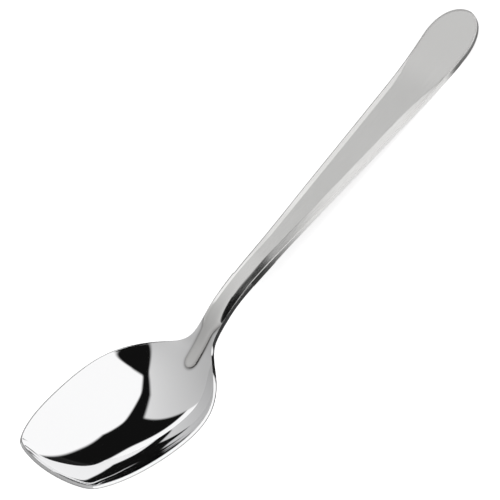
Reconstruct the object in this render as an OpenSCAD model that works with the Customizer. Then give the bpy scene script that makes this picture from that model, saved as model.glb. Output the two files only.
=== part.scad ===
// Serving spoon with a blunt-ended bowl, lying on its bowl and the end of its handle.
// The bowl is one thin pressing whose tab runs up under the handle. The handle is a thicker pressing
// whose tongue lies on the bowl, and two spot welds hold the two together.
// Lengths in mm. X runs from the bowl to the handle's end, Z is up from the table.

/* [Overall] */
// Length from the bowl's tip to the handle's end
spoon_length = 224; // [212:1:236]
// Width of the bowl at its widest place, between the rim's inner edges
bowl_width = 51.4; // [47:0.2:56]
// Width of the neck at its narrowest place
neck_width = 8.1; // [7.6:0.1:9]
// Width of the handle at its widest place
handle_width = 19.8; // [17:0.2:22]

/* [Bowl outline] */
// Distance from the tip to the heel, where the rim is lowest
bowl_length = 68.5; // [66:0.5:71]
// Distance from the tip to the widest place
widest_at = 36.7; // [34:0.1:39]
// Width of the straight stretch in the middle of the tip's edge
tip_flat = 6; // [4:0.5:8]
// Radius of the tip's edge, seen from above
tip_radius = 51; // [42:1:62]
// Softness of the tip's two corners
tip_softness = 1.4; // [1:0.1:2.2]
// Radius of the bowl's sides at the widest place, seen from above
side_radius = 59.5; // [54:0.5:66]
// Distance over which the shoulders close in
shoulder_reach = 35; // [32:0.5:38]
// Softness of the corners between the shoulders and the neck
shoulder_softness = 5.4; // [4:0.2:6.4]

/* [Bowl shape] */
// Thickness of the bowl's sheet
sheet = 1.3; // [1:0.1:1.6]
// Height of the rim at the tip
tip_rise = 31; // [28:0.5:34]
// Height of the rim at its slight bend
rim_rise = 16.4; // [15:0.2:18]
// Height of the rim at the heel, where its straight runs would meet
heel_rise = 4.9; // [4.4:0.1:5.4]
// Distance from the tip to the place where the bowl touches the table
bottom_at = 50; // [48:0.5:52]
// Radius of the bowl's keel where it touches the table
keel_radius = 59; // [54:1:66]

/* [Neck and handle] */
// Distance from the heel to the knee, where the neck turns into the handle
neck_length = 16.3; // [15:0.1:18]
// Downward slope of the handle from the knee to its resting place, in degrees
handle_fall = 5.1; // [4.6:0.1:5.6]
// Upward slope of the handle's end, in degrees
end_lift = 2.9; // [2:0.1:4]
// Distance from the handle's end to the place where it rests on the table
rest_from_end = 26; // [22:1:32]
// Length of the handle's rounded end
end_round = 15; // [12:0.5:18]
// Height of the handle's top face above the tab
handle_upper = 0.9; // [0.8:0.05:1.2]
// Width of the bevel along each top edge
bevel_width = 2.9; // [2.4:0.1:3.4]
// Slope of the bevels, in degrees
bevel_angle = 18; // [15:1:20]
// Depth of the flat ground into the handle's back
flat_depth = 0.15; // [0.1:0.05:0.25]
// Length of that flat
flat_length = 78; // [60:1:82]

/* [Joint] */
// Distance that the tongue runs past the heel into the bowl
tongue_reach = 7; // [5:0.5:9]
// Width of the tongue near its end
tongue_width = 4.6; // [4:0.1:5.2]
// Thickness of the tongue at its end
tongue_end = 0.6; // [0.4:0.05:0.8]
// Distance that the bowl's tab runs past the knee under the handle
tab_reach = 12; // [10:0.5:14]
// Diameter of each weld nugget
weld_diameter = 3.6; // [3:0.1:4]
// Height of each weld nugget, half in each sheet
weld_height = 1; // [0.8:0.1:1.2]

/* [Hidden] */

// Gap between the tongue and the bowl, and at the end of the tab
lap_gap = 0.05;
// Gap around each weld nugget in its pocket
weld_gap = 0.02;
// Softness of the rim's slight bend, of the heel, of the knee and of the handle's resting place
rim_softness = 9;
heel_softness = 1.2;
knee_softness = 5.2;
rest_softness = 3.2;
// Softness of the place where the handle starts to widen
taper_softness = 5;
// Distance that the inner edge of the tip's rim stands behind its outer edge
tip_back = 1.1;
// Softness of the place where the bowl's hollow runs out into the tab
hollow_softness = 1;
// Distance over which the bevels run out before the rounded end
bevel_run_out = 18;
// Length of the tongue's rounded end
tongue_round = 3;
// Thinnest edge of the tongue
tongue_edge = 0.25;
// Length over which the handle's underside steps down behind the tab
step_length = 0.3;
// Step used to measure a slope
slope_step = 0.01;
// Steel colours of the polished bowl, the satin handle and the welds
bowl_colour = [0.83, 0.83, 0.84];
handle_colour = [0.74, 0.74, 0.73];
weld_colour = [0.55, 0.55, 0.56];

// Share of the bowl's cross-section that rises with the fourth power, which steepens the walls
wall_share = 0.2;
// Share of the tip's length at which the rim bends slightly
rim_bend_share = 0.467;
// Share of half the width that the flat crown keeps where the handle is narrow, and at its end
crown_share = 0.46;
end_crown_share = 0.94;
// Share of an end's round length that is cut square
blunt_share = 0.01;
// Least share of the shoulders' softness, so that it never falls to nothing
least_corner_share = 0.1;
// Shares of the lap's length where the two welds sit
weld_shares = [0.47, 0.8];

// Steps along the bowl's front and back, along the tongue's end, the handle and its rounded end, and across
front_steps = 20;
back_steps = 36;
across_steps = 28;
tongue_steps = 8;
lap_steps = 22;
handle_steps = 44;
end_steps = 12;

rim_bend_at = bowl_length * rim_bend_share;
knee_at = bowl_length + neck_length;
tab_end = knee_at + tab_reach;
tongue_start = bowl_length - tongue_reach;
rest_at = spoon_length - rest_from_end;
widest_end = spoon_length - end_round;
handle_lower = sheet + flat_depth;

// Rim and handle line: straight runs from the tip, joined by soft bends
fall = tan(handle_fall);
lift = tan(end_lift);
rest_share = fall / (fall + lift);
rest_dip = -rest_softness * (fall * ln(rest_share) + lift * ln(1 - rest_share));
rest_rise = handle_lower - rest_dip;
knee_rise = rest_rise + fall * (rest_at - knee_at);
tip_slope = (rim_rise - tip_rise) / rim_bend_at;
rim_slope = (heel_rise - rim_rise) / (bowl_length - rim_bend_at);
neck_slope = (knee_rise - heel_rise) / neck_length;
// Each bend: where it is, its change of slope, its softness
BENDS = [
  [rim_bend_at, rim_slope - tip_slope, rim_softness],
  [bowl_length, neck_slope - rim_slope, heel_softness],
  [knee_at, -fall - neck_slope, knee_softness],
  [rest_at, lift + fall, rest_softness]
];

// Keel of the bowl: a parabola at the bottom that steepens to reach the tip
keel_square = 1 / (2 * keel_radius);
keel_run = bottom_at - tip_back;
keel_fourth = (line(tip_back) - sheet - keel_square * pow(keel_run, 2)) / pow(keel_run, 4);

// Zero that turns softly into a slope of one
function soft(u, softness) = softness * ln(1 + exp(u / softness));
function total(list, i = 0) = i == len(list) ? 0 : list[i] + total(list, i + 1);
function smooth_step(u) = let (t = min(1, max(0, u))) t * t * (3 - 2 * t);

// Height of the rim, and beyond it of the tab's top face and the lap's line along the handle
function line(x) = tip_rise + tip_slope * x + total([for (b = BENDS) b[1] * soft(x - b[0], b[2])]);
function line_slope(x) = (line(x + slope_step) - line(x)) / slope_step;

// Half of the width of the neck and handle, before the rounded end
function taper(x) =
  let (start = knee_at + taper_softness)
  let (spread = (handle_width - neck_width) / 2 / (widest_end - start))
  neck_width / 2 + spread * soft(x - start, taper_softness);

// Half of the bowl's width, with its tab
function belly(x) =
  let (u = x - widest_at, r = u / shoulder_reach)
  bowl_width / 2 - u * u / (2 * side_radius) * (1 + r + r * r);
function tip_edge(x) = sqrt(2 * tip_radius * (x - tip_back) + tip_flat * tip_flat / 4);
function front_half(x) = tip_edge(x) - soft(tip_edge(x) - belly(x), tip_softness);
function corner(x) = smooth_step((x - widest_at) / (bowl_length - widest_at));
function back_half(x) =
  taper(x) + soft(belly(x) - taper(x), shoulder_softness * max(least_corner_share, corner(x)));
function bowl_half(x) = x < widest_at ? front_half(x) : back_half(x);

// Depth of the bowl's hollow below its rim along the middle
function keel(x) =
  let (u2 = pow(x - bottom_at, 2))
  sheet + keel_square * u2 + keel_fourth * u2 * u2;
function hollow(x) =
  let (g = line(x) - keel(x), k = hollow_softness * (x - tip_back) / bowl_length)
  (g + sqrt(g * g + k * k)) / 2;

// Height of the sheet's top face, and the point of its underside square below a point of that face
function rise_share(v) = (1 - wall_share) * v * v + wall_share * pow(v, 4);
function sheet_top(x, y) = line(x) - hollow(x) * (1 - rise_share(y / bowl_half(x)));
function sheet_under(x, y) =
  let (z = sheet_top(x, y))
  let (along = (sheet_top(x + slope_step, y) - z) / slope_step)
  let (across = (sheet_top(x, y + slope_step) - sheet_top(x, y - slope_step)) / (2 * slope_step))
  [x, y, z] + sheet * [along, across, -1] / norm([along, across, 1]);

// Half of the handle's width, with the tongue and the rounded end
function end_share(d, reach) =
  let (s = min(1, blunt_share + (1 - blunt_share) * d / reach))
  sqrt(1 - pow(1 - s, 2));
function handle_half(x) =
  let (t = smooth_step((x - bowl_length) / neck_length))
  (tongue_width / 2 + (taper(x) - tongue_width / 2) * t)
  * end_share(x - tongue_start, tongue_round)
  * end_share(spoon_length - x, end_round);

// Handle's crown above the tab, and half of the crown's width
function upper(x) =
  tongue_end + (handle_upper - tongue_end) * smooth_step((x - tongue_start) / (knee_at - tongue_start));
function run_out(x) = smooth_step((x - widest_end + bevel_run_out) / bevel_run_out);
function crown_half(x) =
  let (h = handle_half(x), c = max(h * crown_share, h - bevel_width))
  c + (h * end_crown_share - c) * run_out(x);

// Cross-section of the bowl's sheet at x: its top from side to side, then its underside back
function bowl_loop(x) =
  let (w = bowl_half(x))
  let (ys = [for (j = [0 : across_steps]) w * (2 * j / across_steps - 1)])
  concat(
    [for (y = ys) [x, y, sheet_top(x, y)]],
    [for (j = [across_steps : -1 : 0]) sheet_under(x, ys[j])]
  );

// Cross-section of the handle at x: bevel, crown and bevel, then its underside back
function handle_loop(x, lapped) =
  let (h = handle_half(x), c = crown_half(x))
  let (top = sheet_top(x, 0) + lap_gap + upper(x))
  let (under = line(x) - handle_lower * sqrt(1 + pow(line_slope(x), 2)))
  let (ys = [h, h / 2, 0, -h / 2, -h])
  let (bed = [for (y = ys) lapped ? sheet_top(x, y) + lap_gap : under])
  let (edge = max(bed[0] + tongue_edge, top - (h - c) * tan(bevel_angle)))
  concat(
    [[x, -h, edge], [x, -c, top], [x, 0, top], [x, c, top], [x, h, edge]],
    [for (i = [0 : len(ys) - 1]) [x, ys[i], bed[i]]]
  );

// Two triangles over four corners
function halves(a, b, c, d) = [[a, b, c], [a, c, d]];

// Closed skin over sections of the same number of points, each a top row and an underside row run back
module skin(loops) {
  n = len(loops[0]);
  end = (len(loops) - 1) * n;
  sides = [
    for (i = [0 : n : end - n], j = [0 : n - 1])
      let (a = i + j, b = i + (j + 1) % n)
      each halves(a, b, b + n, a + n)
  ];
  caps = [
    for (j = [0 : n / 2 - 2])
      let (k = n - 1 - j)
      each concat(halves(k, k - 1, j + 1, j), halves(end + j, end + j + 1, end + k - 1, end + k))
  ];
  polyhedron([for (loop = loops, p = loop) p], concat(sides, caps), convexity = 6);
}

// Places its children on the lap at x, square to it
module on_lap(x) {
  translate([x, 0, sheet_top(x, 0) + lap_gap / 2])
    rotate([0, -atan(line_slope(x)), 0])
      children();
}

// Weld nuggets, or with a gap the pockets that they fill
module nuggets(gap) {
  for (share = weld_shares)
    on_lap(tongue_start + share * (tab_end - tongue_start))
      cylinder(h = weld_height + 2 * gap, d = weld_diameter + 2 * gap, center = true, $fn = 32);
}

// Slab under the handle whose top face is the flat on the handle's back
module flat_cutter() {
  middle = (tab_end + rest_at) / 2;
  translate([middle, 0, rest_rise + fall * (rest_at - middle) - sheet / cos(handle_fall)])
    rotate([0, handle_fall, 0])
      translate([-flat_length / 2, -handle_width, -handle_width])
        cube([flat_length, 2 * handle_width, handle_width]);
}

module on_table() {
  translate([-spoon_length / 2, 0, 0])
    children();
}

module bowl() {
  front = [for (i = [0 : front_steps - 1]) tip_back + (widest_at - tip_back) * pow(i / front_steps, 2)];
  back = [for (i = [0 : back_steps]) widest_at + (tab_end - widest_at) * i / back_steps];
  color(bowl_colour)
    on_table()
      difference() {
        skin([for (x = concat(front, back)) bowl_loop(x)]);
        nuggets(weld_gap);
      }
}

module handle() {
  round_end = tongue_start + tongue_round;
  step = tab_end + lap_gap;
  tongue = [for (i = [0 : tongue_steps - 1]) tongue_start + tongue_round * pow(i / tongue_steps, 2)];
  lap = [for (i = [0 : lap_steps]) round_end + (step - round_end) * i / lap_steps];
  shank = [for (i = [1 : handle_steps]) step + (widest_end - step) * i / handle_steps];
  end = [for (i = [end_steps - 1 : -1 : 0]) spoon_length - end_round * pow(i / end_steps, 2)];
  color(handle_colour)
    on_table()
      difference() {
        skin(concat(
          [for (x = concat(tongue, lap)) handle_loop(x, true)],
          [for (x = concat([step + step_length], shank, end)) handle_loop(x, false)]
        ));
        nuggets(weld_gap);
        flat_cutter();
      }
}

module spot_welds() {
  color(weld_colour)
    on_table()
      nuggets(0);
}

bowl();
handle();
spot_welds();
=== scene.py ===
import bmesh
import bpy
import numpy as np
from mathutils import Matrix, Vector


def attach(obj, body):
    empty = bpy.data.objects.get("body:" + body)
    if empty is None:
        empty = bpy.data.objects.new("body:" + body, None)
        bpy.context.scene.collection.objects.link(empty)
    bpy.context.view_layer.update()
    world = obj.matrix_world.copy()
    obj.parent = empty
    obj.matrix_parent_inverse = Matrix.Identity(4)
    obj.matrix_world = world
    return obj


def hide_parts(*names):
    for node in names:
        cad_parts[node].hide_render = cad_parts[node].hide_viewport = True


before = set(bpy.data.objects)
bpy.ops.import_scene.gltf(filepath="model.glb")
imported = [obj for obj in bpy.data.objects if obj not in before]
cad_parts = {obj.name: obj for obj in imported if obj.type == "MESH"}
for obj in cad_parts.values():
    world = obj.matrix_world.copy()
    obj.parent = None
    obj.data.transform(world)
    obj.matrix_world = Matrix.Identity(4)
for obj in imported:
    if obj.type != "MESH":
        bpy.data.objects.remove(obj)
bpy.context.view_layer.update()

# Bowl: one pressing of thin stainless sheet, a mirror inside and duller on its back, with a blunt tip,
# round shoulders and a narrow tab that runs up under the handle. Its rim is cut square to the sheet and
# buffed round at its foot. Lengths are in mm, and x runs from the tip to the end of the handle.
spoon_length = 224.0
bowl_width = 51.4
bowl_length = 68.5
widest_at = 36.7
side_curve = 119.0
side_skew = 35.0
shoulder_softness = 1.4
neck_fillet = 5.4
bottom_at = 50.0
sheet = 1.3
tip_curve = 102.0
tip_start = 1.1 - 9.0 / tip_curve
tip_rise = 31.0
lip_height = 1.25
rim_bend_at = 0.467 * bowl_length
rim_rise = 16.4
rim_softness = 9.0
heel_rise = 4.9
heel_softness = 1.2
neck_width = 8.1
neck_extra = 0.6
handle_width = 19.8
knee_at = bowl_length + 16.3
knee_softness = 5.2
flare_at = knee_at + 5.0
flare_softness = 5.0
tab_end = knee_at + 12.0
rest_at = spoon_length - 26.0
rest_softness = 3.2
handle_round = 15.0
widest_end = spoon_length - handle_round
handle_lower = sheet + 0.15
back_angle = np.radians(5.1)
end_angle = np.radians(2.9)


def soft(u, softness):
    """Zero that turns softly into a slope of one."""
    return softness * np.logaddexp(0, u / softness)


def rising(x, start, run):
    """Smooth step from 0 at the start to 1 at the end of the run."""
    t = np.clip((x - start) / run, 0, 1)
    return t * t * (3 - 2 * t)


def falling(x, start, run):
    return 1 - rising(x, start, run)


fall = np.tan(back_angle)
lift = np.tan(end_angle)
rest_share = fall / (fall + lift)
rest_rise = handle_lower + rest_softness * (fall * np.log(rest_share) + lift * np.log(1 - rest_share))
knee_rise = rest_rise + fall * (rest_at - knee_at)
tip_slope = (rim_rise - tip_rise) / rim_bend_at
rim_slope = (heel_rise - rim_rise) / (bowl_length - rim_bend_at)
neck_slope = (knee_rise - heel_rise) / (knee_at - bowl_length)
bends = (
    (rim_bend_at, rim_slope - tip_slope, rim_softness),
    (bowl_length, neck_slope - rim_slope, heel_softness),
    (knee_at, -fall - neck_slope, knee_softness),
    (rest_at, lift + fall, rest_softness),
)


def lap_line(x):
    """Height of the rim, and beyond it of the tab's top face and the line of the handle."""
    return tip_rise + tip_slope * x + sum(turn * soft(x - at, softness) for at, turn, softness in bends)


def neck_half(x):
    """Half of the handle's width from the neck on, before its rounded end."""
    spread = (handle_width - neck_width) / 2 / (widest_end - flare_at)
    return neck_width / 2 + spread * soft(x - flare_at, flare_softness)


def bowl_half(x):
    """Half of the bowl's width, with its tab."""
    u = x - widest_at
    belly = bowl_width / 2 - u * u / side_curve * (1 + u / side_skew + (u / side_skew) ** 2)
    tip = np.sqrt(np.maximum(tip_curve * (x - tip_start), 1e-6))
    front = tip - soft(tip - belly, shoulder_softness)
    fillet = neck_fillet * np.maximum(0.1, rising(x, widest_at, bowl_length - widest_at))
    return np.where(u < 0, front, neck_half(x) + soft(belly - neck_half(x), fillet))


keel_run = bottom_at - tip_start
keel_square = 1 / 118.0
keel_fourth = (lap_line(tip_start) - sheet - keel_square * keel_run**2) / keel_run**4


def hollow(x):
    """Depth of the bowl below its rim along the middle, which runs out into the tab."""
    u2 = (x - bottom_at) ** 2
    depth = lap_line(x) - sheet - keel_square * u2 - keel_fourth * u2 * u2
    return (depth + np.sqrt(depth**2 + ((x - tip_start) / bowl_length) ** 2)) / 2


def tip_lip(x):
    """Quick drop just inside the tip's edge, which the die turned up."""
    run = np.maximum(x - tip_start, 0)
    return lip_height * (1 - np.exp(-run / 0.8)) * falling(run, 0.0, 16.0)


def depth_left(v):
    """Share of the depth that is left at a share v of the bowl's half width."""
    return 1 - 0.8 * v**2 - 0.2 * v**4


def depth_lost(v):
    """How quickly the depth is lost there, on the way out to the rim."""
    return 1.6 * v + 0.8 * v**3


def bowl_top(x, y):
    v = np.clip(y / bowl_half(x), -1, 1)
    return lap_line(x) - (hollow(x) + tip_lip(x)) * depth_left(v)


def bowl_inside(x, y):
    return np.stack([x, y, bowl_top(x, y)], -1)


def bowl_outside(x, y):
    """Points of the sheet's back, square below those of its polished inside."""
    at = np.maximum(x, tip_start + 0.02)
    half = bowl_half(at)
    v = np.clip(y / half, -1, 1)
    climb = hollow(at) * depth_lost(v) / half
    line_slope, hollow_slope, half_slope = (
        (run(at + 0.001) - run(at - 0.001)) / 0.002 for run in (lap_line, hollow, bowl_half)
    )
    along = line_slope - hollow_slope * depth_left(v) - climb * v * half_slope
    square = np.stack([-along, -climb, np.ones_like(along)], -1)
    thickness = (sheet + neck_extra * rising(x, 70.0, 12.0))[..., None]
    return bowl_inside(x, y) - thickness * square / np.linalg.norm(square, axis=-1, keepdims=True)


def end_curve(half, tip, corner, across):
    """Outline round one end, from side to side, with even steps across."""
    x = tip + (corner - tip) * np.linspace(0, 1, 4000) ** 2
    y = half(corner) * np.linspace(-1, 1, across + 1)
    return np.stack([np.interp(np.abs(y), half(x), x), y], 1)


def pressing(name, half, front, back, sides, lanes, top, under, edge, foot_round, reach):
    """Mesh of one pressing: its two faces over the same plan, and a rounded edge all round."""
    rows, columns = len(sides) - 1, len(front) - 1
    width = half(sides)
    loop = np.concatenate([
        front,
        np.stack([sides, width], 1)[1:],
        back[-2::-1],
        np.stack([sides, -width], 1)[-2:0:-1],
    ])
    ahead = np.roll(loop, -1, 0) - np.roll(loop, 1, 0)
    ahead /= np.linalg.norm(ahead, axis=1, keepdims=True)
    rounding = edge(loop[:, :1], loop[:, 1:])
    inner = loop + rounding * np.stack([ahead[:, 1], -ahead[:, 0]], 1)
    far = inner[columns:columns + rows + 1]
    near = np.concatenate([inner[:1], inner[:-rows - 1:-1]])
    share = lanes(sides, near[:, 1], far[:, 1], columns)[..., None]
    plan = near[:, None] * (1 - share) + far[:, None] * share
    lead = inner[:columns + 1]
    trail = inner[columns + rows:2 * columns + rows + 1][::-1]
    for end, curve, start in ((0, lead, sides[0]), (-1, trail, sides[-1])):
        fade = np.clip(1 - np.abs(sides - start) / reach, 0, 1) ** 2
        plan = plan + fade[:, None, None] * (curve - plan[end])[None]
    upper = top(plan[..., 0], plan[..., 1]).reshape(-1, 3)
    lower = under(plan[..., 0], plan[..., 1]).reshape(-1, 3)
    count = len(upper)
    index = np.arange(count).reshape(plan.shape[:2])
    border = np.concatenate([index[0], index[1:, -1], index[-1, -2::-1], index[-2:0:-1, 0]])
    outer_top = top(loop[:, 0], loop[:, 1])
    outer_under = under(loop[:, 0], loop[:, 1])
    depth = np.linalg.norm(outer_under - outer_top, axis=1, keepdims=True)
    downward = (outer_under - outer_top) / depth
    shoulder = outer_top + downward * np.minimum(1.2 * rounding, 0.75 * depth)
    foot = outer_under - downward * np.minimum(foot_round, 0.35 * depth)
    turns = np.linspace(0, 1, 8)
    rings = [
        (1 - t) ** 2 * upper[border] + 2 * t * (1 - t) * outer_top + t * t * shoulder for t in turns[1:]
    ] + [
        (1 - t) ** 2 * foot + 2 * t * (1 - t) * outer_under + t * t * lower[border] for t in turns[:-1]
    ]
    points = np.concatenate([upper, lower, *rings])
    quads = np.stack([index[:-1, :-1], index[1:, :-1], index[1:, 1:], index[:-1, 1:]], -1).reshape(-1, 4)
    ring_points = 2 * count + np.arange(len(rings) * len(loop)).reshape(len(rings), len(loop))
    chain = [border, *ring_points, border + count]
    strips = [np.stack([a, np.roll(a, -1), np.roll(b, -1), b], 1) for a, b in zip(chain, chain[1:])]
    faces = np.concatenate([quads, quads[:, ::-1] + count, *strips])
    mesh = bpy.data.meshes.new(name)
    mesh.from_pydata(((points - [spoon_length / 2, 0, 0]) / 1000).tolist(), [], faces.tolist())
    shape = bmesh.new()
    shape.from_mesh(mesh)
    bmesh.ops.recalc_face_normals(shape, faces=shape.faces)
    shape.to_mesh(mesh)
    shape.free()
    mesh.shade_smooth()
    mesh.set_sharp_from_angle(angle=np.radians(40))
    piece = bpy.data.objects.new(name, mesh)
    bpy.context.scene.collection.objects.link(piece)
    return piece


def even_lanes(x, near, far, columns):
    return np.linspace(0, 1, columns + 1) + 0 * x[:, None]


def rim_round(x, y):
    """Rounding of the rim's top edge, which gets crisp beside the tongue."""
    return 0.03 + 0.22 * falling(x, 54.0, 6.0)


tip_corner = tip_start + 4.7
bowl_rows, bowl_columns = 261, 131
bowl = pressing(
    "polished_bowl",
    bowl_half,
    end_curve(bowl_half, tip_start, tip_corner, bowl_columns - 1),
    np.column_stack([np.full(bowl_columns, tab_end), bowl_half(tab_end) * np.linspace(-1, 1, bowl_columns)]),
    np.linspace(tip_corner, tab_end, bowl_rows),
    even_lanes,
    bowl_inside,
    bowl_outside,
    rim_round,
    foot_round=0.42,
    reach=30.0,
)


def steel(name, colour):
    """Plain steel shader, and a builder of nodes for its finish."""
    material = bpy.data.materials.new(name)
    material.use_nodes = True
    shader = material.node_tree.nodes["Principled BSDF"]
    shader.inputs["Base Color"].default_value = (*colour, 1)
    shader.inputs["Metallic"].default_value = 1

    def add(kind, links=(), **values):
        node = material.node_tree.nodes.new(kind)
        for key, value in values.items():
            if key in node.inputs:
                node.inputs[key].default_value = value
            else:
                setattr(node, key, value)
        for socket, source in links:
            material.node_tree.links.new(source, node.inputs[socket])
        return node

    def finish(socket, source):
        material.node_tree.links.new(source, shader.inputs[socket])

    return material, add, finish


def with_painted_seam_shade(add, colour, seam_shade_colour):
    """Colour of a piece with painted shade: a dark line round the lap that stands in for the shadow and dark
    reflection in the groove where the tongue lies on the bowl.
    """
    # The attribute read here holds the share of painted shade round the lap.
    painted_seam_shade = add("ShaderNodeAttribute", attribute_name="painted_seam_shade")
    mix = add("ShaderNodeMix", data_type="RGBA")
    mix.inputs[6].default_value = (*colour, 1)
    mix.inputs[7].default_value = (*seam_shade_colour, 1)
    mix.id_data.links.new(painted_seam_shade.outputs["Fac"], mix.inputs[0])
    return mix.outputs[2]


def mark(piece, name, share):
    """Give each point of a piece a share that its finish reads."""
    piece.data.attributes.new(name, "FLOAT", "POINT").data.foreach_set("value", share)


def changed_by(add, share_name, amount, plain):
    """A plain value of the finish, plus an amount times a share marked on the piece."""
    share = add("ShaderNodeAttribute", attribute_name=share_name)
    node = add("ShaderNodeMath", [(0, share.outputs["Fac"])], operation="MULTIPLY_ADD")
    node.inputs[1].default_value = amount
    if isinstance(plain, float):
        node.inputs[2].default_value = plain
    else:
        node.id_data.links.new(plain, node.inputs[2])
    return node.outputs["Value"]


mirror_colour = (0.88, 0.88, 0.885)
mirror, add, finish = steel("mirror_polish", mirror_colour)
place = add("ShaderNodeTexCoord")
haze = add("ShaderNodeTexNoise", [("Vector", place.outputs["Object"])], Scale=90.0, Detail=4.0, Roughness=0.6)
buffed = add("ShaderNodeMapRange", [("Value", haze.outputs["Fac"])])
buffed.inputs["To Min"].default_value = 0.015
buffed.inputs["To Max"].default_value = 0.045
face_points = bowl_rows * bowl_columns
duller_back = np.zeros(len(bowl.data.vertices))
duller_back[face_points:2 * face_points] = 1
mark(bowl, "duller_back", duller_back)
finish("Roughness", changed_by(add, "duller_back", 0.2, buffed.outputs["Result"]))
finish("Metallic", changed_by(add, "duller_back", -0.4, 1.0))
# Painted shade: the bowl's base colour turns dark near the tongue's outline, in place of the shadow and dark
# reflection in the lap's groove.
finish("Base Color", with_painted_seam_shade(add, mirror_colour, (0.16, 0.155, 0.15)))
bowl.data.materials.append(mirror)
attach(bowl, "root")
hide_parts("bowl")

# Handle: a thicker stainless pressing with bevelled top edges, a cranked neck, a round end and a thinned
# round tongue that lies on the bowl. It is satin-brushed along its length, and its back is ground flat.
# The neck is polished brighter, and the near edge is left dull from the cut.
tongue_start = bowl_length - 7.0
tongue_round = 3.0
tongue_width = 4.6
lap_gap = 0.05
step_at = tab_end + lap_gap
flat_middle = (tab_end + rest_at) / 2
flat_half = 39.0 * np.cos(back_angle)
flat_start, flat_end = flat_middle - flat_half, flat_middle + flat_half
step_run = 0.05
flat_run = 0.1
lanes_across = 64


def handle_half(x):
    """Half of the handle's width, with the tongue and the rounded end."""
    plain = tongue_width / 2 + (neck_half(x) - tongue_width / 2) * rising(x, 74.5, 5.5)
    front = np.clip((x - tongue_start) / tongue_round, 0, 1)
    back = np.clip((spoon_length - x) / handle_round, 0, 1)
    return plain * np.sqrt(1 - (1 - front) ** 2) * np.sqrt(1 - (1 - back) ** 2)


def crown_half(x, y, half):
    """Half of the flat crown's width on either side, out to the crease where the bevel starts."""
    near_bevel = 2.5 * falling(x, 176.0, 32.0)
    far_bevel = 3.3 * falling(x, 184.0, 28.0)
    near_least = 0.35 + 0.18 * falling(x, 79.5, 15.5)
    far_least = 0.36 + 0.14 * falling(x, 96.0, 24.0)
    bevel = np.where(y < 0, near_bevel, far_bevel)
    least = np.where(y < 0, near_least, far_least)
    return np.maximum(least * half, half - bevel)


def handle_top(x, y):
    """Points of the satin top: the crown, and the bevels that fall away from it in degrees of tilt."""
    half = np.maximum(handle_half(x), np.abs(y))
    crown = crown_half(x, y, half)
    height = 0.6 + 0.78 * rising(x, tongue_start, knee_at - tongue_start) - 0.43 * rising(x, 106.5, 54.0)
    neck = falling(x, 80.6, 22.0)
    near_tilt = 10.6 + 21.8 * neck + 2.5 * rising(x, 102.0, 10.0) + 2.7 * rising(x, 112.0, 40.0)
    far_tilt = 27.5 - 6.4 * rising(x, 122.0, 22.0)
    slope = np.tan(np.radians(np.where(y < 0, near_tilt, far_tilt))) * rising(x, 64.0, 14.0)
    near_crease = 0.44 * falling(x, 95.8, 14.0)
    far_crease = 0.3 * falling(x, 76.0, 10.0)
    crease = 0.02 + np.where(y < 0, near_crease, far_crease)
    room = height - 0.12 + 0.8 * rising(x, step_at, 12.0)
    ease = np.minimum(1, room / np.maximum((half - crown) * slope, 1e-6))
    drop = ease * slope * (soft(np.abs(y) - crown, crease) - soft(-crown, crease))
    return np.stack([x, y, bowl_top(x, 0 * x) + lap_gap + height - drop], -1)


def handle_under(x, y):
    """Points of the back, which is ground flat in the middle and stepped to take the bowl's tab."""
    tilt = (lap_line(x + 0.01) - lap_line(x - 0.01)) / 0.02
    plain = lap_line(x) - handle_lower * np.sqrt(1 + tilt**2)
    ground = rest_rise + fall * (rest_at - x) - sheet / np.cos(back_angle)
    plain = plain + (ground - plain) * np.clip((flat_half - np.abs(x - flat_middle)) / flat_run, 0, 1)
    plain = plain - neck_extra * falling(x, 98.0, 20.0) + 0.5 * rising(x, 202.0, 14.0)
    bed = bowl_top(x, np.clip(y, -bowl_half(x), bowl_half(x))) + lap_gap
    return np.stack([x, y, bed + (plain - bed) * np.clip((x - step_at) / step_run, 0, 1)], -1)


def handle_edge(x, y):
    """Rounding of the top edge: crisp round the tongue and along the near side, buffed on the far side."""
    near = 0.16 + 0.34 * rising(x, 188.0, 16.0)
    far = 0.16 + 0.84 * rising(x, 76.0, 10.0) + 0.5 * rising(x, 188.0, 16.0)
    return near + (far - near) * rising(y, -4.0, 8.0)


def crease_lanes(x, near, far, columns):
    """Shares across the handle, with one lane along each crease."""
    lane = np.linspace(-2, 2, columns + 1)
    reach = np.where(lane < 0, -near[:, None], far[:, None])
    crown = np.minimum(crown_half(x[:, None], lane, handle_half(x)[:, None]), reach - 0.4)
    outer = np.clip(np.abs(lane) - 1, 0, 1)
    y = np.clip(lane, -1, 1) * crown + np.sign(lane) * outer * (reach - crown)
    return (y - near[:, None]) / (far - near)[:, None]


quarter = np.cos(np.radians(np.linspace(50, 90, 13)))
neck_corner = tongue_start + tongue_round * (1 - quarter[0])
end_corner = spoon_length - handle_round * (1 - quarter[0])
sides = np.concatenate([
    tongue_start + tongue_round * (1 - quarter),
    np.linspace(tongue_start + tongue_round, step_at, 90)[1:],
    [step_at + step_run],
    np.linspace(step_at + step_run, flat_start, 14)[1:],
    [flat_start + flat_run],
    np.linspace(flat_start + flat_run, flat_end - flat_run, 80)[1:],
    [flat_end],
    np.linspace(flat_end, widest_end, 60)[1:],
    spoon_length - handle_round * (1 - quarter[-2::-1]),
])
handle = pressing(
    "satin_handle",
    handle_half,
    end_curve(handle_half, tongue_start, neck_corner, lanes_across),
    end_curve(handle_half, spoon_length, end_corner, lanes_across),
    sides,
    crease_lanes,
    handle_top,
    handle_under,
    handle_edge,
    foot_round=0.12,
    reach=20.0,
)
sharp = handle.data.attributes.get("sharp_edge") or handle.data.attributes.new("sharp_edge", "BOOLEAN", "EDGE")
sharp_from = {lanes_across // 4: 106.0, 3 * lanes_across // 4: 86.0}
sharp_to = 206.0
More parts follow.
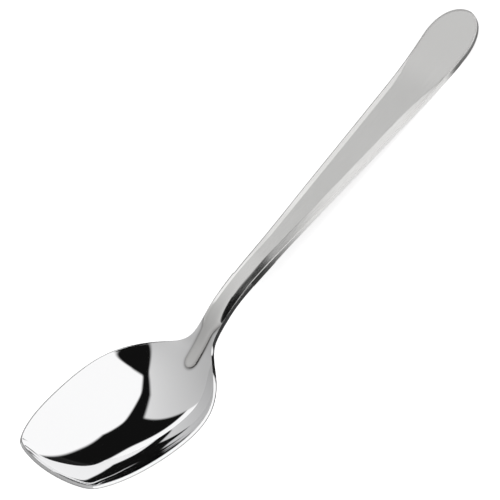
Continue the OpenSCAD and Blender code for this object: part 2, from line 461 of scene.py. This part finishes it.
for edge in handle.data.edges:
    row, lane = divmod(min(edge.vertices), lanes_across + 1)
    along = max(edge.vertices) - min(edge.vertices) == lanes_across + 1
    if along and lane in sharp_from and row < len(sides) and sharp_from[lane] < sides[row] < sharp_to:
        sharp.data[edge.index].value = True

# Painted shade round the lap: each point of both pieces gets a share of dark colour by its distance from the tongue's
# outline, standing in for the shadow and dark reflection in the groove there. It fades out along the neck.
lap_x = np.concatenate([
    tongue_start + tongue_round * np.linspace(0, 1, 30) ** 2,
    np.linspace(tongue_start + tongue_round, 86, 90),
])
lap_y = handle_half(lap_x)
for piece in (bowl, handle):
    spots = np.empty(3 * len(piece.data.vertices))
    piece.data.vertices.foreach_get("co", spots)
    spots = 1000 * spots.reshape(-1, 3) + [spoon_length / 2, 0, 0]
    folded = np.column_stack([spots[:, 0], np.abs(spots[:, 1]), spots[:, 2]])
    gap = np.full(len(spots), 9.0)
    for seam_spot in np.column_stack([lap_x, lap_y, bowl_top(lap_x, lap_y)]):
        gap = np.minimum(gap, np.linalg.norm(folded - seam_spot, axis=1))
    seam_shade = 0.64 * np.exp(-((gap / 0.68) ** 2)) * falling(spots[:, 0], 76.0, 8.0)
    mark(piece, "painted_seam_shade", seam_shade)

rim_start = 2 * len(sides) * (lanes_across + 1)
edge_x, edge_y = spots[rim_start:, 0], spots[rim_start:, 1]
dulled, sheared = np.zeros((2, len(spots)))
dulled[rim_start:] = rising(edge_x, 100.0, 26.0)
sheared[rim_start:] = rising(edge_x, 100.0, 36.0) * falling(edge_x, 196.0, 8.0) * falling(edge_y, -3.0, 4.0)
mark(handle, "dulled", dulled)
mark(handle, "sheared", sheared)

satin_colour = (0.80, 0.795, 0.785)
satin, add, finish = steel("satin_brush", satin_colour)
place = add("ShaderNodeTexCoord")
stretched = add("ShaderNodeMapping", [("Vector", place.outputs["Object"])])
stretched.inputs["Scale"].default_value = (30.0, 2600.0, 2600.0)
lines = add("ShaderNodeTexNoise", [("Vector", stretched.outputs["Vector"])], Scale=1.0, Detail=3.0, Roughness=0.6)
brushed = add("ShaderNodeMapRange", [("Value", lines.outputs["Fac"])])
brushed.inputs["To Min"].default_value = 0.17
brushed.inputs["To Max"].default_value = 0.25
lengthwise = add("ShaderNodeSeparateXYZ", [("Vector", place.outputs["Object"])])
polish = add("ShaderNodeMapRange", [("Value", lengthwise.outputs["X"])])
polish.inputs["From Min"].default_value = -0.0125
polish.inputs["From Max"].default_value = -0.0035
polish.inputs["To Min"].default_value = 0.5
duller = add("ShaderNodeMath", [(0, brushed.outputs["Result"]), (1, polish.outputs["Result"])], operation="MULTIPLY")
finish("Roughness", changed_by(add, "dulled", 0.4, duller.outputs["Value"]))
finish("Metallic", changed_by(add, "sheared", -0.85, 1.0))
# Painted shade: the handle's base colour turns dark round the tongue's edge, in place of the shadow and dark
# reflection in the lap's groove.
finish("Base Color", with_painted_seam_shade(add, satin_colour, (0.14, 0.13, 0.125)))
grooves = add("ShaderNodeBump", [("Height", lines.outputs["Fac"])], Strength=0.05, Distance=0.0001)
finish("Normal", grooves.outputs["Normal"])
handle.data.materials.append(satin)
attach(handle, "root")
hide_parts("handle")

# Spot welds: two nuggets of melted steel in a row along the lap, half in the bowl's tab and half in the
# handle's tongue. They hold the two pressings together and don't show from outside.
weld_steel, add, finish = steel("weld_nugget", (0.55, 0.55, 0.56))
place = add("ShaderNodeTexCoord")
grains = add("ShaderNodeTexNoise", [("Vector", place.outputs["Object"])], Scale=1500.0)
cast = add("ShaderNodeMapRange", [("Value", grains.outputs["Fac"])])
cast.inputs["To Min"].default_value = 0.4
cast.inputs["To Max"].default_value = 0.6
finish("Roughness", cast.outputs["Result"])

welding = bpy.data.node_groups.new("weld_row", "GeometryNodeTree")
weld_inputs = {
    name: welding.interface.new_socket(name, in_out="INPUT", socket_type=kind)
    for name, kind in (
        ("Weld diameter", "NodeSocketFloat"),
        ("Weld height", "NodeSocketFloat"),
        ("First place", "NodeSocketVector"),
        ("Second place", "NodeSocketVector"),
        ("First tilt", "NodeSocketFloat"),
        ("Second tilt", "NodeSocketFloat"),
    )
}
welding.interface.new_socket("Welds", in_out="OUTPUT", socket_type="NodeSocketGeometry")


def weld_node(kind, *links, **values):
    node = welding.nodes.new(kind)
    for key, value in values.items():
        setattr(node, key, value)
    for socket, source in links:
        if hasattr(source, "is_linked"):
            welding.links.new(source, node.inputs[socket])
        else:
            node.inputs[socket].default_value = source
    return node


given = weld_node("NodeGroupInput").outputs
half_width = weld_node("ShaderNodeMath", (0, given["Weld diameter"]), (1, 0.5), operation="MULTIPLY")
nugget = weld_node(
    "GeometryNodeMeshCylinder", ("Vertices", 32), ("Radius", half_width.outputs[0]), ("Depth", given["Weld height"])
)
row = weld_node(
    "GeometryNodeMeshLine",
    ("Count", 2),
    ("Start Location", given["First place"]),
    ("Offset", given["Second place"]),
    mode="END_POINTS",
)
number = weld_node("GeometryNodeInputIndex")
lean = weld_node(
    "ShaderNodeMapRange",
    ("Value", number.outputs[0]),
    ("To Min", given["First tilt"]),
    ("To Max", given["Second tilt"]),
)
facing = weld_node("ShaderNodeCombineXYZ", ("Y", lean.outputs["Result"]))
pair = weld_node(
    "GeometryNodeInstanceOnPoints",
    ("Points", row.outputs["Mesh"]),
    ("Instance", nugget.outputs["Mesh"]),
    ("Rotation", facing.outputs["Vector"]),
)
solid = weld_node("GeometryNodeRealizeInstances", ("Geometry", pair.outputs["Instances"]))
finished = weld_node("GeometryNodeSetMaterial", ("Geometry", solid.outputs["Geometry"]), ("Material", weld_steel))
weld_node("NodeGroupOutput", ("Welds", finished.outputs["Geometry"]))

weld_x = tongue_start + np.array([0.47, 0.8]) * (tab_end - tongue_start)
weld_z = bowl_top(weld_x, 0 * weld_x) + lap_gap / 2
weld_tilt = -np.arctan((lap_line(weld_x + 0.01) - lap_line(weld_x)) / 0.01)
welds = bpy.data.objects.new("weld_nuggets", bpy.data.meshes.new("weld_row"))
bpy.context.scene.collection.objects.link(welds)
setting = welds.modifiers.new("weld_row", "NODES")
setting.node_group = welding
for name, value in (
    ("Weld diameter", 0.0036),
    ("Weld height", 0.001),
    ("First place", ((weld_x[0] - spoon_length / 2) / 1000, 0, weld_z[0] / 1000)),
    ("Second place", ((weld_x[1] - spoon_length / 2) / 1000, 0, weld_z[1] / 1000)),
    ("First tilt", float(weld_tilt[0])),
    ("Second tilt", float(weld_tilt[1])),
):
    setting[weld_inputs[name].identifier] = value
seen = welds.evaluated_get(bpy.context.evaluated_depsgraph_get())
welds.data = bpy.data.meshes.new_from_object(seen)
welds.modifiers.clear()
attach(welds, "root")
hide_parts("spot_welds")

# Floor: a plain pale sheet of paper under the spoon, just clear of it, with some light of its own. The
# steel doesn't mirror it, because the tent has a darker floor for that.
floor_reach = 6.0
floor_level = -0.00003
floor_mesh = bpy.data.meshes.new("floor")
floor_mesh.from_pydata(
    [(floor_reach * x, floor_reach * y, floor_level) for x, y in ((-1, -1), (1, -1), (1, 1), (-1, 1))],
    [],
    [(0, 1, 2, 3)],
)
floor = bpy.data.objects.new("floor", floor_mesh)
bpy.context.scene.collection.objects.link(floor)
floor.visible_glossy = False
paper = bpy.data.materials.new("pale_paper")
paper.use_nodes = True
shader = paper.node_tree.nodes["Principled BSDF"]
shader.inputs["Base Color"].default_value = (0.8, 0.8, 0.8, 1)
shader.inputs["Roughness"].default_value = 0.9
shader.inputs["Specular IOR Level"].default_value = 0
shader.inputs["Emission Color"].default_value = (1, 1, 1, 1)
shader.inputs["Emission Strength"].default_value = 0.7
floor.data.materials.append(paper)

# Light: a tent of soft panels, white on the right and low in front and grey at the back, with dark gaps
# between them and round the camera, a low white surround and a darker floor that only the steel shows.
world = bpy.data.worlds.new("light_tent")
bpy.context.scene.world = world
world.use_nodes = True
tree = world.node_tree
tree.nodes.clear()
toward = tree.nodes.new("ShaderNodeTexCoord").outputs["Generated"]


def reach_along(normal):
    """How far a direction leans along the normal."""
    dot = tree.nodes.new("ShaderNodeVectorMath")
    dot.operation = "DOT_PRODUCT"
    dot.inputs[1].default_value = normal
    tree.links.new(toward, dot.inputs[0])
    return dot.outputs["Value"]


def edge_of(value, softness, offset=0.0):
    """One edge of a panel: 1 above the offset, 0 below it."""
    ramp = tree.nodes.new("ShaderNodeMapRange")
    ramp.interpolation_type = "SMOOTHSTEP"
    ramp.inputs["From Min"].default_value = offset - softness
    ramp.inputs["From Max"].default_value = offset + softness
    tree.links.new(value, ramp.inputs["Value"])
    return ramp.outputs["Result"]


def side_of(normal, softness, offset=0.0):
    return edge_of(reach_along(Vector(normal).normalized()), softness, offset)


def combine(operation, *masks, third=None):
    """One mask from several, each joined to those before it."""
    result = masks[0]
    for mask in masks[1:]:
        node = tree.nodes.new("ShaderNodeMath")
        node.operation = operation
        tree.links.new(result, node.inputs[0])
        if isinstance(mask, float):
            node.inputs[1].default_value = mask
        else:
            tree.links.new(mask, node.inputs[1])
        if third is not None:
            node.inputs[2].default_value = third
        result = node.outputs["Value"]
    return result


def over(below, level, mask):
    """A panel of its own brightness in front of what is below it."""
    mix = tree.nodes.new("ShaderNodeMix")
    mix.data_type = "RGBA"
    tree.links.new(mask, mix.inputs[0])
    for socket, value in ((6, below), (7, level)):
        if isinstance(value, float):
            mix.inputs[socket].default_value = (value, value, value, 1)
        else:
            tree.links.new(value, mix.inputs[socket])
    return mix.outputs[2]


white_level = 1.08
surround_level = 1.07
corner_softness = 0.3
front_top = -0.625
above = side_of((0, 0, 1), 0.03, -0.1)
front_low = combine("MULTIPLY", side_of((-1, -1, 0), 0.03), side_of((0, 0, -1), 0.03, front_top), above)
below_top = combine("SUBTRACT", reach_along((0, 0, -1)), front_top)
corner = combine("SMOOTH_MAX", reach_along((1, 0, -0.128)), below_top, third=corner_softness)
front_corner = combine("MULTIPLY", edge_of(corner, 0.03), side_of((0, -1, 0), 0.05, 0.4), above)
surround_top = combine("SUBTRACT", reach_along((-0.0727, -0.1259, -0.9894)), -0.422)
surround_side = combine("SUBTRACT", reach_along((-0.6388, 0.7694, -0.25)), 0.04)
surround = edge_of(combine("SMOOTH_MIN", surround_side, surround_top, third=corner_softness), 0.02)
under = side_of((0, 0, -1), 0.03, 0.09)
under_back = combine("MULTIPLY", side_of((0, 0, -1), 0.05, 0.2), side_of((-0.906, 0.423, 0), 0.15))
white_foot = combine("MULTIPLY", side_of((0, 0, 1), 0.04, -0.4), side_of((0, 1, 0), 0.03, 0.08))
white = combine(
    "MULTIPLY",
    side_of((1, 0, -0.128), 0.025),
    side_of((1.18, -1, -0.272), 0.025),
    side_of((0.5, -1, -0.043), 0.025),
    combine("MAXIMUM", side_of((0.173, -1, 0.246), 0.025), side_of((0.43, -1, -0.2), 0.025)),
    combine("MAXIMUM", side_of((0, 0, 1), 0.02, -0.01), white_foot),
)
grey = combine(
    "MULTIPLY",
    combine(
        "MAXIMUM",
        side_of((-1.047, 1, -0.006), 0.03),
        combine("MULTIPLY", side_of((-0.89, 1, 0.115), 0.025), side_of((-1.59, 1, 0.15), 0.025)),
    ),
    side_of((-1, 0, 0.652), 0.02),
    side_of((0, 0, 1), 0.02),
)
grey_level = combine("ADD", reach_along((0.35, -0.17, 0)), 0.72)
light = over(0.006, surround_level, surround)
light = over(light, 0.05, under)
light = over(light, 0.1, under_back)
light = over(light, 0.015, combine("MULTIPLY", side_of((1, 0, 0), 0.1, 0.55), under))
light = over(light, white_level, combine("MAXIMUM", front_low, front_corner))
light = over(light, white_level, white)
light = over(light, grey_level, grey)
background = tree.nodes.new("ShaderNodeBackground")
tree.links.new(light, background.inputs["Color"])
out = tree.nodes.new("ShaderNodeOutputWorld")
tree.links.new(background.outputs["Background"], out.inputs["Surface"])
bpy.context.scene.view_settings.view_transform = "Standard"

# Camera: the photograph's long lens, above the near side of the spoon and turned so that the spoon lies
# across the frame.
pixels_per_mm = 2.877
frame_width = 0.5 / pixels_per_mm
sensor_width = 36
distance = 1.5
aside, higher = -28.695, 8.622
azimuth, elevation, roll = np.radians([-20.397, 54.412, -34.835])
back = np.array([np.sin(azimuth) * np.cos(elevation), -np.cos(azimuth) * np.cos(elevation), np.sin(elevation)])
level = np.array([np.cos(azimuth), np.sin(azimuth), 0])
right = np.cos(roll) * level + np.sin(roll) * np.cross(back, level)
up = np.cross(back, right)
eye = distance * back
aim = 0.001 * (aside * right + higher * up) / pixels_per_mm
back = (eye - aim) / np.linalg.norm(eye - aim)
right = right - back * (right @ back)
right /= np.linalg.norm(right)
camera_data = bpy.data.cameras.new("camera")
camera_data.lens = sensor_width * distance / frame_width
camera = bpy.data.objects.new("camera", camera_data)
bpy.context.scene.collection.objects.link(camera)
camera.matrix_world = Matrix.Translation(eye) @ Matrix(np.column_stack([right, np.cross(back, right), back])).to_4x4()
bpy.context.scene.camera = camera
